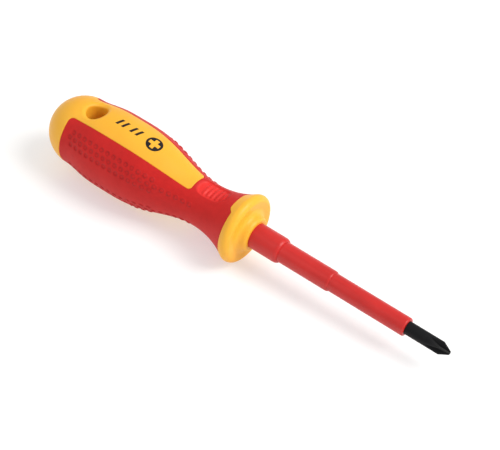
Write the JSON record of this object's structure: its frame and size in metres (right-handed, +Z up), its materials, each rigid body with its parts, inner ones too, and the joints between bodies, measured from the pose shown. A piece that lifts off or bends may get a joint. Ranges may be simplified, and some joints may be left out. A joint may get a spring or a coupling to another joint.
{
  "type": "insulated screwdriver",
  "caption": "Insulated cross-head screwdriver with a stepped insulated shaft, a bare dark point, a collared two-material handle with soft dimpled side grips and a hang hole.",
  "frame": {"origin": "under the middle of the tool's length, on the surface that its belly rests on", "axes": "+X along the blade towards the point, +Z up through the hang hole, +Y to the left of a person looking along the blade"},
  "size_m": [0.1702, 0.029, 0.029],
  "materials": {
    "blade_steel": "black phosphated steel, satin",
    "insulation_red": "red moulded insulation, semi-gloss",
    "core_red": "red hard moulding, semi-gloss",
    "handle_yellow": "warm yellow hard moulding, satin",
    "grip_red": "red soft moulding, matt, dimpled"
  },
  "bodies": {
    "root": {"blade": "blade_steel", "blade_sleeve": "insulation_red", "inner_core": "core_red", "handle_body": "handle_yellow", "grip": "grip_red"}
  },
  "joints": []
}
